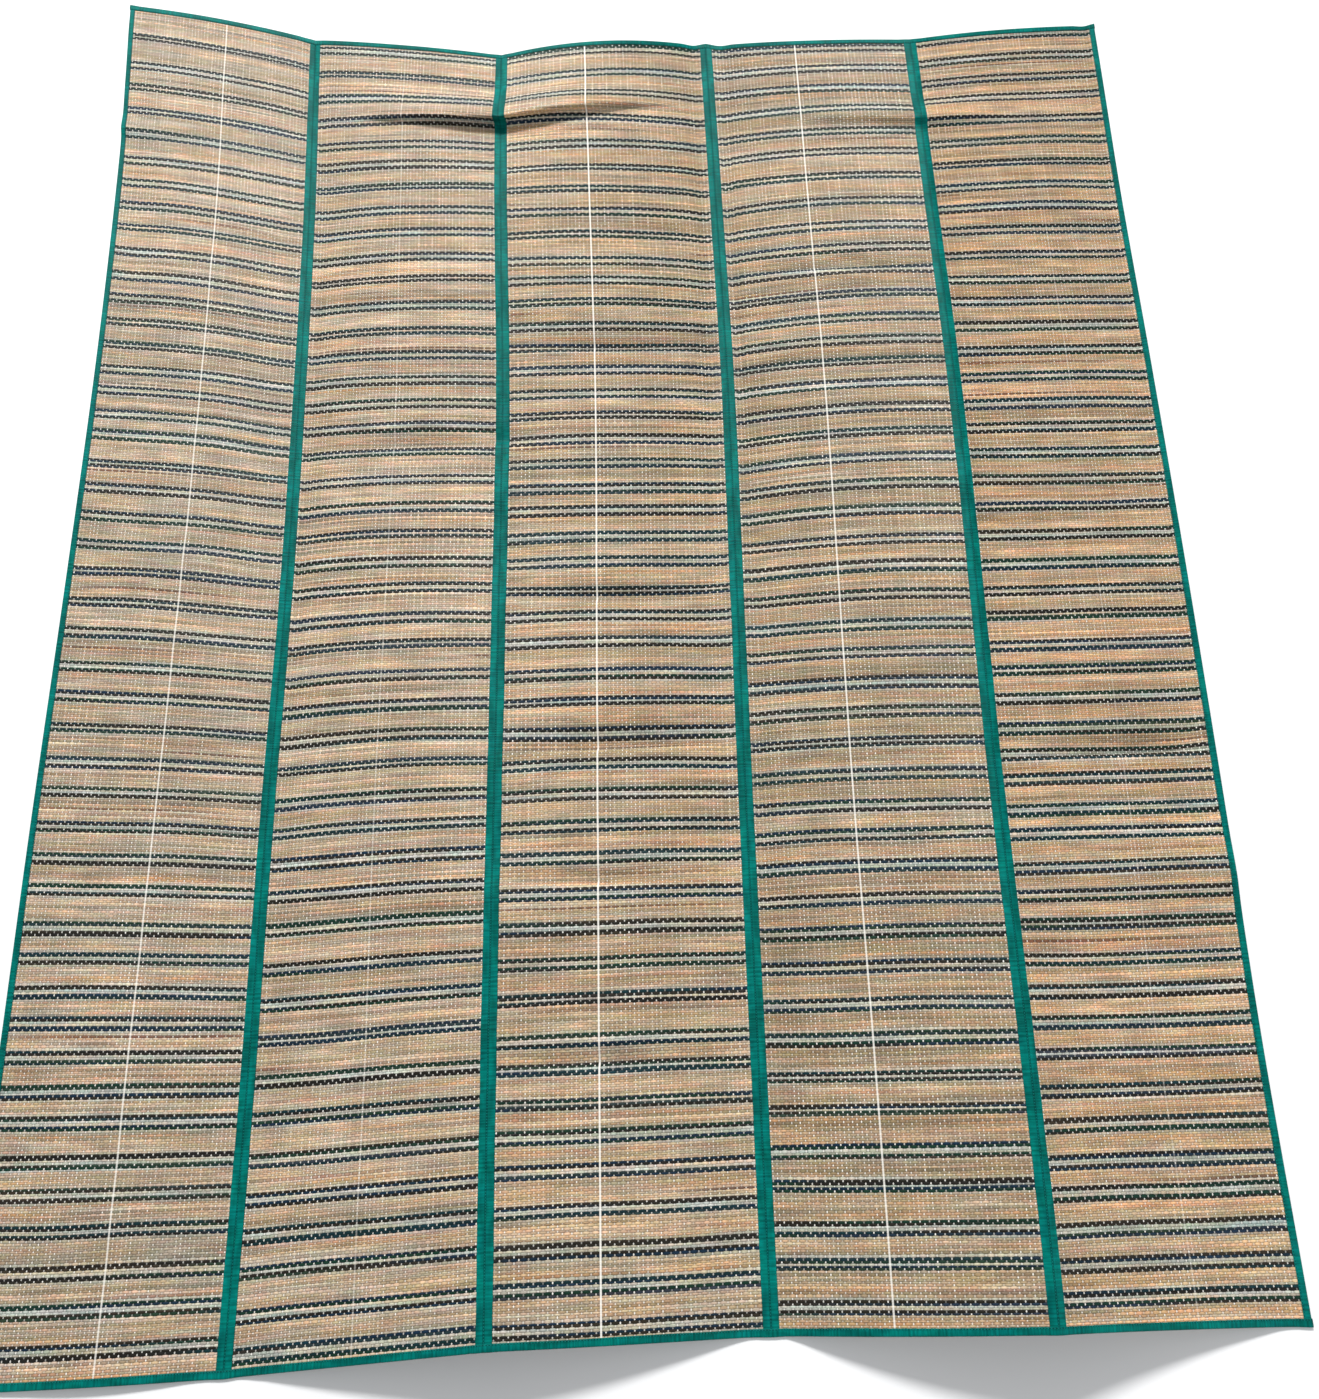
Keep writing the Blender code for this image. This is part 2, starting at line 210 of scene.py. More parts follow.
def ripple(seed, u, v):
    """A smooth field between -1 and 1 with one drawn value for each unit square of u and v."""
    drawn = np.random.default_rng(seed).uniform(-1, 1, (128, 128))
    u, v = np.broadcast_arrays(u, v)
    i, j = np.floor(u).astype(int), np.floor(v).astype(int)
    a, b = u - i, v - j
    a, b = a * a * (3 - 2 * a), b * b * (3 - 2 * b)

    def at(m, n):
        return drawn[(i + m) % 128, (j + n) % 128]

    return (at(0, 0) * (1 - a) + at(1, 0) * a) * (1 - b) + (at(0, 1) * (1 - a) + at(1, 1) * a) * b


def unit(vectors):
    return vectors / np.linalg.norm(vectors, axis=-1, keepdims=True)


def crest_line(crease, across):
    """Where a crease's crest runs along the mat, and how it fades towards its ends."""
    side = np.where(across < crease["peak"], crease["left"], crease["right"])
    away = np.clip((across - crease["peak"]) / (side - crease["peak"]), 0, 1)
    ends = (crease["along_left"], crease["along_right"])
    return np.interp(across, (crease["left"], crease["right"]), ends), 0.5 + 0.5 * np.cos(np.pi * away)


def painted_crease_shade(across, along):
    """The share of the reeds' brightness left along the bottoms of the creases, which are darkened there
    with painted shade.
    """
    kept = 1
    for row in CREASES:
        crease = dict(zip(CREASE_COLUMNS, row))
        crest, fade = crest_line(crease, across)
        sunken = np.clip(-crease["rise_mm"] / DEEPEST_MM, 0, 1) * np.sqrt(fade)
        kept = kept * (1 - CREASE_SHADE_LOSS * sunken * np.exp(-(((along - crest) / CREASE_SHADE_REACH) ** 2)))
    return kept


def creases(across, along):
    """What the creases add to the height, and how far they lean towards the foot."""
    rise, lean = 0, 0
    for row in CREASES:
        crease = dict(zip(CREASE_COLUMNS, row))
        crest, fade = crest_line(crease, across)
        foot_side = crease["foot_mm"] * (NARROWEST + (1 - NARROWEST) * fade)
        width = np.where(along < crest, foot_side, crease["head_mm"]) * MM
        roundness = np.where(along < crest, FOOT_ROUNDNESS, 2)
        own = crease["rise_mm"] * MM * fade * np.exp(-(np.abs((along - crest) / width) ** roundness))
        rise = rise + own
        lean = lean + own * crease["lean"]
    return rise, lean


def settled(z):
    """Heights with what would reach under the floor laid flat on it."""
    bent = (z + FLOOR_BEND) ** 2 / (4 * FLOOR_BEND)
    return np.where(z < -FLOOR_BEND, 0, np.where(z < FLOOR_BEND, bent, z))


class Surface:
    """The mat's middle layer as it lies, on a fine grid that is read at any place between its points."""

    def __init__(self):
        self.along = np.linspace(0, LENGTH, GRID_ROWS)
        share = self.along / LENGTH
        across = np.linspace(0, PANELS, PANELS * FINE + 1)
        panel = np.minimum(across.astype(int), PANELS - 1)
        q = across - panel
        heights = np.stack([smooth(row[1:], share) for row in HEIGHTS_MM], axis=1) * MM
        left, crown, right = (heights[:, 2 * panel + k] for k in range(3))
        base = left * (1 - q) * (1 - 2 * q) + crown * 4 * q * (1 - q) + right * q * (2 * q - 1)
        run = np.sqrt((PITCH / FINE) ** 2 - np.diff(settled(base), axis=1) ** 2)
        x = np.concatenate([np.zeros((GRID_ROWS, 1)), np.cumsum(run, axis=1)], axis=1)
        x += smooth(DRIFTS_MM, share)[:, None] * MM - x[:, [PANELS * FINE // 2]]
        shifts = np.stack([smooth(row[1:], share) for row in SHIFTS_MM], axis=1) * MM
        x += shifts[:, panel] * (1 - q) + shifts[:, panel + 1] * q
        rise, lean = creases(across[None], self.along[:, None])
        waves = 0
        for seed, height_mm, to_panel, size in WAVES:
            waves = waves + height_mm * ripple(seed, across[None] * to_panel, self.along[:, None] / size)
        z = settled(base + rise + np.clip(base / CLEAR_HEIGHT, 0, 1) ** 2 * waves * MM)
        lines = np.arange(PANELS + 1)
        foot, head = (np.interp(across, lines, reach) * MM for reach in (FOOT_REACH_MM, HEAD_REACH_MM))
        y = LENGTH * (share[:, None] - 0.5) + foot * (1 - share[:, None]) + head * share[:, None] - lean
        points = np.stack([x - PLAN_MIDDLE[0], y - PLAN_MIDDLE[1], z + REST_HEIGHT], axis=2)
        self.points = points[:, np.arange(PANELS)[:, None] * FINE + np.arange(FINE + 1)]
        rightward, headward = np.gradient(self.points, axis=2), np.gradient(self.points, axis=0)
        self.normals = unit(np.cross(rightward, headward))
        for joint in range(1, PANELS):
            mean = unit(self.normals[:, joint - 1, -1] + self.normals[:, joint, 0])
            self.normals[:, joint - 1, -1] = mean
            self.normals[:, joint, 0] = mean

    def at(self, panel, along, steps):
        """Points and normals at places along, and at places across in fine steps of a panel."""
        along, steps = np.broadcast_arrays(along, steps)
        rows = along / LENGTH * (GRID_ROWS - 1)
        i = np.clip(np.floor(rows).astype(int), 0, GRID_ROWS - 2)
        j = np.clip(np.floor(steps).astype(int), 0, FINE - 1)
        a, b = (rows - i)[..., None], (steps - j)[..., None]

        def read(grid):
            near = grid[i, panel, j] * (1 - a) + grid[i + 1, panel, j] * a
            far = grid[i, panel, j + 1] * (1 - a) + grid[i + 1, panel, j + 1] * a
            return near * (1 - b) + far * b

        return read(self.points), unit(read(self.normals))

    def spread(self, panel, along, step):
        """Even places along, moved within the buckle's span to be even over the buckled cloth."""
        span = self.along[(self.along >= BUCKLE_SPAN[0]) & (self.along <= BUCKLE_SPAN[1])]
        points, _ = self.at(panel, span, step)
        arc = np.concatenate([[0], np.cumsum(np.linalg.norm(np.diff(points, axis=0), axis=1))])
        even = span[0] + arc / arc[-1] * (span[-1] - span[0])
        return np.where((along > span[0]) & (along < span[-1]), np.interp(along, even, span), along)


def grid_quads(rows, columns, closed=False):
    """Corner numbers of the quads of a grid of points, wrapped round across if closed."""
    r = np.arange(rows - 1)[:, None] * columns
    c = np.arange(columns if closed else columns - 1)[None]
    d = (c + 1) % columns
    return np.stack([r + c, r + d, r + columns + d, r + columns + c], axis=2).reshape(-1, 4)


def make_piece(name, points, quads, material, maps, colours=(), caps=()):
    """A smooth mesh piece with its maps and colours given for each quad's corners."""
    mesh = bpy.data.meshes.new(name)
    mesh.from_pydata(points.tolist(), [], quads.tolist() + [list(map(int, cap)) for cap in caps])
    spare = sum(len(cap) for cap in caps)
    for map_name, values in maps:
        layer = mesh.uv_layers.new(name=map_name)
        values = np.concatenate([values.reshape(-1, 2), np.zeros((spare, 2))])
        layer.uv.foreach_set("vector", values.ravel())
    for layer_name, values in colours:
        layer = mesh.color_attributes.new(name=layer_name, type="FLOAT_COLOR", domain="CORNER")
        values = np.concatenate([values.reshape(-1, 3), np.full((spare, 3), 0.4)])
        layer.data.foreach_set("color", np.concatenate([values, np.ones((len(values), 1))], axis=1).ravel())
    mesh.materials.append(material)
    mesh.shade_smooth()
    mesh.validate()
    made = bpy.data.objects.new(name, mesh)
    bpy.context.scene.collection.objects.link(made)
    return made


class Finish:
    """A material with its map's two coordinates, and short calls for the nodes that it is made of."""

    def __init__(self, name):
        self.material = bpy.data.materials.new(name)
        self.material.use_nodes = True
        self.tree = self.material.node_tree
        self.shader = self.tree.nodes["Principled BSDF"]
        weave = self.tree.nodes.new("ShaderNodeUVMap")
        weave.uv_map = "Weave"
        split = self.tree.nodes.new("ShaderNodeSeparateXYZ")
        self.tree.links.new(weave.outputs[0], split.inputs[0])
        self.u, self.v = split.outputs[0], split.outputs[1]

    def put(self, socket, value):
        if isinstance(value, bpy.types.NodeSocket):
            self.tree.links.new(value, socket)
        else:
            socket.default_value = value

    def math(self, operation, *values):
        node = self.tree.nodes.new("ShaderNodeMath")
        node.operation = operation
        for socket, value in zip(node.inputs, values):
            self.put(socket, value)
        return node.outputs[0]

    def times(self, *values):
        product = values[0]
        for value in values[1:]:
            product = self.math("MULTIPLY", product, value)
        return product

    def wave(self, value, half_turn):
        """The cosine of a value that turns by half every half_turn."""
        return self.math("COSINE", self.times(value, math.pi / half_turn))

    def ranged(self, value, low, high, to_low, to_high):
        """A smooth step of a value from one range to another."""
        node = self.tree.nodes.new("ShaderNodeMapRange")
        node.interpolation_type = "SMOOTHSTEP"
        keys = ("Value", "From Min", "From Max", "To Min", "To Max")
        for key, given in zip(keys, (value, low, high, to_low, to_high)):
            self.put(node.inputs[key], given)
        return node.outputs["Result"]

    def mixed(self, share, one, other):
        node = self.tree.nodes.new("ShaderNodeMix")
        node.data_type = "RGBA"
        self.put(node.inputs[0], share)
        for socket, value in ((node.inputs[6], one), (node.inputs[7], other)):
            self.put(socket, (*value, 1) if isinstance(value, tuple) else value)
        return node.outputs[2]

    def shaded(self, colour, factor):
        node = self.tree.nodes.new("ShaderNodeVectorMath")
        node.operation = "SCALE"
        self.put(node.inputs[0], colour)
        self.put(node.inputs["Scale"], factor)
        return node.outputs[0]

    def tinted(self, colour, tint):
        node = self.tree.nodes.new("ShaderNodeVectorMath")
        node.operation = "MULTIPLY"
        self.put(node.inputs[0], colour)
        self.put(node.inputs[1], tint)
        return node.outputs[0]

    def noise(self, seed, u, u_size, v, v_size):
        """A cloudy field whose clouds are this large along the two coordinates."""
        place = self.tree.nodes.new("ShaderNodeCombineXYZ")
        self.put(place.inputs[0], self.times(u, 1 / u_size))
        self.put(place.inputs[1], self.times(v, 1 / v_size))
        place.inputs[2].default_value = seed
        node = self.tree.nodes.new("ShaderNodeTexNoise")
        node.inputs["Scale"].default_value = 1.0
        self.put(node.inputs["Vector"], place.outputs[0])
        return node.outputs[0]

    def painted(self, layer):
        node = self.tree.nodes.new("ShaderNodeVertexColor")
        node.layer_name = layer
        return node.outputs[0]

    def bump(self, height, distance, strength):
        node = self.tree.nodes.new("ShaderNodeBump")
        node.inputs["Strength"].default_value = strength
        node.inputs["Distance"].default_value = distance
        self.put(node.inputs["Height"], height)
        self.put(self.shader.inputs["Normal"], node.outputs[0])


def reed_material(name, guide, guide_strength):
    """Plain weave of reeds and warp threads, from a map that counts warps across and reeds along."""
    f = Finish(name)
    f.shader.inputs["Specular IOR Level"].default_value = 0.17
    line = f.math("ROUND", f.v)
    square = f.math("MAXIMUM", f.math("MINIMUM", f.times(f.wave(f.u, 1), 2.2), 1.0), -1.0)
    crowd = f.times(square, CROWDING)
    past = f.math("ADD", f.math("SUBTRACT", f.v, line), f.times(crowd, f.wave(line, 1)))
    reed = f.math("ADD", f.math("SUBTRACT", line, 1.0), f.math("GREATER_THAN", past, 0.0))
    own = f.times(crowd, f.wave(reed, 1))
    past = f.math("ADD", f.math("SUBTRACT", f.v, reed), own)
    place = f.math("DIVIDE", past, f.math("ADD", f.times(own, 2.0), 1.0))
    profile = f.math("SINE", f.times(place, math.pi))
    lift = f.wave(f.math("ADD", f.u, reed), 1)
    step = f.math("SUBTRACT", reed, f.math("FLOOR", f.v))
    colour = f.mixed(f.math("MAXIMUM", f.times(step, -1.0), 0.0), f.painted("Here"), f.painted("Before"))
    colour = f.mixed(f.math("MAXIMUM", step, 0.0), colour, f.painted("After"))

    warp = f.math("ROUND", f.u)
    side = f.math("DIVIDE", f.math("SUBTRACT", f.u, warp), THREAD_REACH)
    end = f.math("DIVIDE", f.math("SUBTRACT", place, 0.5), THREAD_LENGTH)
    oval = f.math("ADD", f.times(side, side), f.times(end, end))
    dot = f.times(f.ranged(oval, 0.45, 1.1, 1.0, 0.0), f.math("LESS_THAN", lift, 0.0))
    bright_warp = f.ranged(f.noise(5.0, warp, 0.27, f.v, 60.0), 0.35, 0.62, 0.35, 1.0)
    bright_dot = f.ranged(f.noise(6.0, warp, 0.7, reed, 0.6), 0.3, 0.65, 0.35, 1.0)
    thread = f.times(dot, bright_warp, bright_dot)
    from_guide = f.math("ABSOLUTE", f.math("SUBTRACT", f.u, guide))
    guide_line = f.times(f.ranged(from_guide, 0.12, 0.28, 1.0, 0.0), guide_strength)
    thread = f.math("MAXIMUM", thread, guide_line)

    # painted shade: the reeds' colour is darker down in the grooves between them
    painted_groove_shade = f.ranged(profile, 0.0, 0.65, 0.42, 1.08)
    # painted light and shade: a reed is lighter where it rises over a warp and darker where it dips under
    # one
    painted_bulge_light = f.ranged(lift, -1.0, 1.0, 0.80, 1.12)
    streak = f.ranged(f.noise(1.0, f.u, 11.0, reed, 0.9), 0.28, 0.72, 0.77, 1.23)
    grain = f.ranged(f.noise(2.0, f.u, 0.7, f.v, 0.4), 0.28, 0.72, 0.83, 1.17)
    blotch = f.ranged(f.noise(8.0, f.u, 15.0, f.v, 6.0), 0.3, 0.7, 0.89, 1.11)
    warp_shade = f.ranged(f.noise(7.0, warp, 0.31, f.v, 200.0), 0.3, 0.7, 0.94, 1.06)
    colour = f.shaded(colour, f.times(painted_groove_shade, painted_bulge_light, streak, grain, warp_shade, blotch))
    hue = f.ranged(f.noise(4.0, f.u, 4.5, f.v, 3.0), 0.32, 0.68, 0.0, 1.0)
    colour = f.tinted(colour, f.mixed(hue, PINKISH, OLIVE))
    warmth = f.ranged(f.noise(9.0, f.u, 19.0, f.v, 4.0), 0.32, 0.68, 0.0, 1.0)
    colour = f.tinted(colour, f.mixed(warmth, ORANGE, GREYISH))
    f.put(f.shader.inputs["Base Color"], f.mixed(thread, colour, CREAM))
    f.put(f.shader.inputs["Roughness"], f.ranged(f.noise(3.0, f.u, 2.5, f.v, 0.9), 0.2, 0.8, 0.38, 0.58))
    raised = f.times(profile, f.ranged(lift, -1.0, 1.0, 0.3, 1.0))
    f.bump(f.math("MAXIMUM", raised, f.times(thread, 0.9)), 0.5 * MM, 0.7)
    return f.material


def tape_material(name, seam_mm, seam_half_mm):
    """Fine ribbed tape in two greens, with a sewn line seam_mm from the middle of its map."""
    f = Finish(name)
    f.shader.inputs["Specular IOR Level"].default_value = 0.04
    cloth = f.times(f.wave(f.v, 0.55 * MM), f.wave(f.u, 0.4 * MM))
    broad = f.ranged(f.noise(1.0, f.u, 12 * MM, f.v, 45 * MM), 0.3, 0.7, 0.72, 1.28)
    cross = f.ranged(f.noise(2.0, f.u, 30 * MM, f.v, 2.6 * MM), 0.3, 0.7, 0.72, 1.32)
    from_seam = f.math("ABSOLUTE", f.math("SUBTRACT", f.u, seam_mm * MM))
    sunk = f.ranged(from_seam, seam_half_mm * 0.5 * MM, seam_half_mm * MM, 1.0, 0.0)
    dash = f.ranged(f.wave(f.v, 1.6 * MM), -0.1, 0.3, 0.0, 1.0)
    stitch = f.times(f.ranged(from_seam, 0.18 * MM, 0.34 * MM, 0.8, 0.0), dash)
    tint = f.mixed(f.noise(4.0, f.u, 9 * MM, f.v, 25 * MM), TEAL, BLUE_TEAL)
    weave_shade = f.ranged(cloth, -1.0, 1.0, 0.90, 1.10)
    seam_shade = f.ranged(sunk, 0.0, 1.0, 1.0, 0.5)
    shade = f.times(broad, cross, weave_shade, seam_shade)
    f.put(f.shader.inputs["Base Color"], f.mixed(stitch, f.shaded(tint, shade), STITCH))
    f.put(f.shader.inputs["Roughness"], f.ranged(cross, 0.72, 1.32, 0.36, 0.50))
    height = f.math("ADD", f.times(cloth, 0.15), f.math("SUBTRACT", cross, sunk))
    f.bump(f.math("ADD", height, f.times(stitch, 1.1)), 0.3 * MM, 0.6)
    return f.material


def reed_colours(panel, middles, kinds, draw):
    """A colour for each reed at each column: plain reeds, streaked ones and the dark and pale stripes."""
    reeds, columns = len(middles), np.arange(len(COLUMN_STEPS))
    band = 0.5 + 0.5 * ripple(30 + panel, columns[None] * 0.05, np.arange(reeds)[:, None] / 9.0)
    plain = np.array(NATURAL)[draw.integers(0, len(NATURAL), reeds)] * np.array(PANEL_TONES_AND_SHADE[panel])
    colours = plain[:, None] * (0.86 + 0.26 * band[..., None])
    colours = colours * draw.normal(1, 0.13, (reeds, 1, 1)).clip(0.7, 1.35)
    for share, palette, strength in ((STREAK_SHARE, STREAKS, 0.6), (BROWN_SHARE, (BROWN,), 0.85)):
        for reed in np.flatnonzero(draw.random(reeds) < share):
            middle, reach = draw.uniform(0, len(columns)), draw.uniform(1.5, 9)
            part = np.clip(1.5 - np.abs(columns - middle) / reach, 0, 1)[:, None] * strength
            streak = np.array(palette[draw.integers(len(palette))])
            colours[reed] = colours[reed] * (1 - part) + streak * part
    finishes = {1: (PALES, PALE_STRENGTH), 2: (DARKS, 1.0), 3: (PALES, BESIDE_STRENGTH)}
    for reed in np.flatnonzero(kinds):
        palette, strength = finishes[kinds[reed]]
        ends = [np.array(palette[i]) for i in draw.integers(0, len(palette), 2)]
        turn = np.clip((columns - draw.uniform(0, len(columns))) / 2 + 0.5, 0, 1)[:, None]
        fade = np.clip(draw.normal(strength, 0.15 if kinds[reed] != 2 else 0.02), 0, 1.0)
        colours[reed] = colours[reed] * (1 - fade) + (ends[0] * (1 - turn) + ends[1] * turn) * fade
    across = panel + np.array(COLUMN_STEPS) / FINE
    # painted shade darkens the reeds along the bottoms of the creases
    return colours * painted_crease_shade(across[None], middles[:, None])[..., None]


def reed_kinds(panel, middles, draw):
    """0 is a plain reed, 1 a pale one between the lines of a pair, 2 a dark one and 3 one beside them."""
    kinds = np.zeros(len(middles), int)
    knots = np.array(PAIRS_MM[panel], float)
    numbers = np.arange(len(knots)) * PAIR_GROUP
    pairs = np.interp(np.arange(numbers[-1] + 1), numbers, knots)
    for place in pairs[pairs < LENGTH / MM - 8]:
        pale = draw.choice(PALE_REEDS)
        first = int(np.searchsorted(middles, (place + draw.normal(0, PAIR_JITTER_MM)) * MM))
        first = max(first - (2 * DARK_REEDS + pale) // 2, 0)
        last = first + 2 * DARK_REEDS + pale
        kinds[max(first - 1, 0):last + 1] = 3
        kinds[first:last] = 2
        kinds[first + DARK_REEDS:first + DARK_REEDS + pale] = 1
    return kinds


def laid_reeds(panel, draw):
    """The reeds' edges along the panel, its length on its middle line and the kinds of its reeds."""
    reach = sum(HEAD_REACH_MM[panel:panel + 2]) - sum(FOOT_REACH_MM[panel:panel + 2])
    own_length = LENGTH + reach / 2 * MM
    widths = np.clip(draw.normal(1, REED_SPREAD, round(own_length / REED_WIDTH)), 0.7, 1.4)

    def edges():
        shares = np.concatenate([[0], np.cumsum(widths)]) / widths.sum()
        return shares * (LENGTH - 2 * REED_INSET) + REED_INSET

    rough = edges()
    kinds = reed_kinds(panel, (rough[1:] + rough[:-1]) / 2, draw)
    widths[kinds == 2] *= DARK_REED_WIDTH
    return edges(), own_length, kinds


def woven_panel(panel, material):
    """Reeds laid side by side as ribs on both faces of a closed sheet."""
    draw = np.random.default_rng(100 + panel)
    edges, own_length, kinds = laid_reeds(panel, draw)
    middles = (edges[1:] + edges[:-1]) / 2
    even = np.empty(2 * len(middles) + 1)
    even[0::2], even[1::2] = edges, middles
    steps = np.array(COLUMN_STEPS)
    wobble = REED_WOBBLE * ripple(50 + panel, steps[None] / FINE * 3.1, even[:, None] / WOBBLE_LENGTH)
    calm = np.clip(np.minimum(even, LENGTH - even) / CALM_ENDS, 0, 1)
    along = np.stack([surface.spread(panel, even, step) for step in steps], axis=1) + wobble * calm[:, None]
    points, normals = surface.at(panel, along, steps[None])
    rows, columns = points.shape[:2]
    ridge = np.where(np.arange(rows) % 2, 1, -1)[:, None]
    uneven = 1 + 0.25 * ripple(70 + panel, steps[None] / FINE * 5, np.arange(rows)[:, None] * 0.5)
    out = (HALF_PANEL + RIB * ridge * uneven)[..., None]
    faces_out = (points + normals * out, points - normals * out)
    vertices = np.concatenate([side.reshape(-1, 3) for side in faces_out])
    quads = grid_quads(rows, columns)
    count, last = rows * columns, (rows - 1) * columns
    r, c = np.arange(rows - 1) * columns, np.arange(columns - 1)
    e = r + columns - 1
    rims = [
        np.stack([r, r + columns, r + columns + count, r + count], axis=1),
        np.stack([e, e + count, e + columns + count, e + columns], axis=1),
        np.stack([c, c + count, c + 1 + count, c + 1], axis=1),
        np.stack([last + c, last + c + 1, last + c + 1 + count, last + c + count], axis=1),
    ]
    faces = np.concatenate([quads, quads[:, ::-1] + count, *rims])
    row, column = faces % count // columns, faces % count % columns
    weave = np.stack([steps[column] / FINE * WARPS, row / 2], axis=2)
    # The bake map lays the top's two halves and the underside's two halves side by side
    half = rows // 4 * 2
    strip = np.zeros(len(faces))
    strip[len(quads):] = 2
    lower = row.min(axis=1) < half
    strip += ~lower
    bake_v = np.where(lower[:, None], row / half, (row - half) / (rows - 1 - half))
    bake_u = (steps[column] / FINE * 0.98 + 0.01 + strip[:, None]) / 4
    colours = reed_colours(panel, middles, kinds, draw)
    reed = np.repeat((row.min(axis=1) // 2)[:, None], 4, axis=1)
    layers = [
        (name, colours[np.clip(reed + shift, 0, len(middles) - 1), column])
        for name, shift in (("Here", 0), ("Before", -1), ("After", 1))
    ]
    maps = [("Weave", weave), ("OFBake", np.stack([bake_u, bake_v * 0.996 + 0.002], axis=2))]
    made = make_piece(f"reed_panel_{panel + 1}", vertices, faces, material, maps, layers)
    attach(made, "root")
    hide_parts(f"panel_{panel + 1}")
    return made, own_length


def ribbon(name, node, rings, across_mm, length_places, material, lanes):
    """A closed tube through rings of points, with a map in metres and a bake map cut into lanes."""
    rows, columns = rings.shape[:2]
    quads = grid_quads(rows, columns, closed=True)
    row, column = quads // columns, quads % columns
    wrapped = (column.max(axis=1) - column.min(axis=1) > 1)[:, None] & (column == 0)
    turn = np.append(across_mm, across_mm[-1] + 1.0)
    weave = np.stack([turn[np.where(wrapped, columns, column)] * MM, length_places[row]], axis=2)
    sides = np.linalg.norm(np.roll(rings[rows // 2], -1, 0) - rings[rows // 2], axis=1)
    around = np.concatenate([[0], np.cumsum(sides)]) / sides.sum()
    per_lane = math.ceil((rows - 1) / lanes)
    lane = (row.min(axis=1) // per_lane)[:, None]
    bake_u = (lane + 0.03 + 0.94 * around[np.where(wrapped, columns, column)]) / lanes
    bake_v = (row - lane * per_lane) / per_lane * 0.996 + 0.002
    caps = [np.arange(columns)[::-1], np.arange(columns) + (rows - 1) * columns]
    maps = [("Weave", weave), ("OFBake", np.stack([bake_u, bake_v], axis=2))]
    made = make_piece(name, rings.reshape(-1, 3), quads, material, maps, caps=caps)
    made.data.set_sharp_from_angle(angle=math.radians(50))
    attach(made, "root")
    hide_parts(node)
    return made


def crinkled(profile_mm, seed, places, free):
    """A tape section at each place, with its cross wrinkles and uneven edge: inward and out in metres."""
    profile = np.array(profile_mm)
    inward = np.tile(profile[:, 0], (len(places), 1))
    out = np.tile(profile[:, 1], (len(places), 1))
    wrinkle = 0.6 * ripple(seed, places / 0.006, 0.5) + 0.4 * ripple(seed + 1, places / 0.019, 0.5) + 0.4
    out += ((out > 1.3) & (inward > 0.6)) * wrinkle[:, None] * CRINKLE_MM * free
    inward *= 1 + EDGE_WOBBLE * ripple(seed + 2, places / 0.05, 0.5)[:, None] * (inward > 4)
    return inward * MM, out * MM


def beside(panel, right_side, section, along):
    """Points of a section laid along a panel's side line."""
    inward, out = section
    steps = inward / PITCH * FINE
    points, normals = surface.at(panel, along[:, None], FINE - steps if right_side else steps)
    return points + normals * out[..., None]


def lengthwise_rows(panel, step):
    even = np.linspace(UNDER_END, LENGTH - UNDER_END, round((LENGTH - 2 * UNDER_END) / TAPE_STEP))
    buckled = np.arange(*BUCKLE_SPAN, BUCKLED_STEP)
    even = even[(even < buckled[0] - BUCKLED_STEP) | (even > buckled[-1] + BUCKLED_STEP)]
    even = np.sort(np.concatenate([even, buckled]))
    return even, surface.spread(panel, even, step)


def joint_tape(joint, material):
    """A tape over and one under two panels' edges, sewn together down the middle between them."""
    even, along = lengthwise_rows(joint, 0)
    right_top, left_top = (crinkled(JOINT_HALF_MM, 200 + 10 * joint + 3 * k, even, 1) for k in (0, 1))
    under = crinkled(JOINT_UNDER_MM, 260, even, 0)
    web = crinkled(WEB_MM, 270, even, 0)
    rings = np.concatenate([
        beside(joint - 1, True, left_top, along)[:, ::-1],
        beside(joint, False, right_top, along)[:, 1:],
        beside(joint, False, web, along),
        beside(joint, False, under, along),
        beside(joint - 1, True, under, along)[:, -2::-1],
        beside(joint - 1, True, web, along)[:, ::-1],
    ], axis=1)
    top = np.array(JOINT_HALF_MM)[:, 0]
    hidden = np.arange(10, 10 + rings.shape[1] - 2 * len(top) + 1)
    across = np.concatenate([-top[::-1], top[1:], hidden])
    name = f"sewn_tape_{joint}"
    return ribbon(name, f"joint_tape_{joint}", rings[:, ::-1], across[::-1], even, material, 7)


def fold_across():
    """Places round a folded tape's section in mm, counted down from its upper face."""
    sides = np.linalg.norm(np.diff(np.array(FOLD_MM), axis=0), axis=1)
    return FOLD_REACH_MM - np.concatenate([[0], np.cumsum(sides)])


def side_binding(name, node, panel, right_side, material):
    even, along = lengthwise_rows(panel, FINE if right_side else 0)
    section = crinkled(FOLD_MM, 300 + 10 * right_side, even, 1)
    rings = beside(panel, right_side, section, along)
    if not right_side:
        return ribbon(name, node, rings, fold_across(), even, material, 8)
    return ribbon(name, node, rings[:, ::-1], fold_across()[::-1], even, material, 8)


